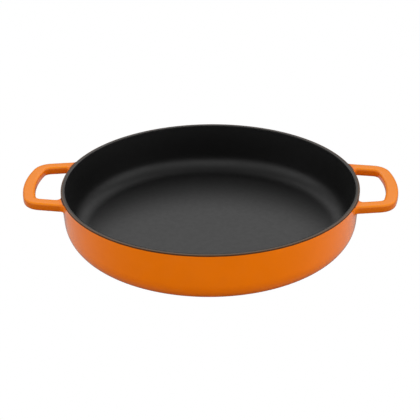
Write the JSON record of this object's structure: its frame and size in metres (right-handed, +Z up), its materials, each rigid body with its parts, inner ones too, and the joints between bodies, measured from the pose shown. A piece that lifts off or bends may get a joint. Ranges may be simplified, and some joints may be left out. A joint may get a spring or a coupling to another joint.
{
  "type": "skillet",
  "caption": "Shallow round enamelled cast iron skillet with steep walls, a flat foot ring and loop handles cast level with its rim, for frying, braising and serving.",
  "frame": {"origin": "on the resting plane, under the centre of the bowl", "axes": "+Z up, +X towards the right handle, +Y away from the viewer; both handles lie on the X axis"},
  "size_m": [0.351, 0.28, 0.0527],
  "materials": {
    "iron": "as cast",
    "orange_enamel": "gloss",
    "black_enamel": "matt",
    "ground_enamel": "satin"
  },
  "bodies": {
    "root": {"pan_casting": "iron", "exterior_enamel": "orange_enamel", "interior_enamel": "black_enamel", "rim_bead": "ground_enamel"}
  },
  "joints": []
}
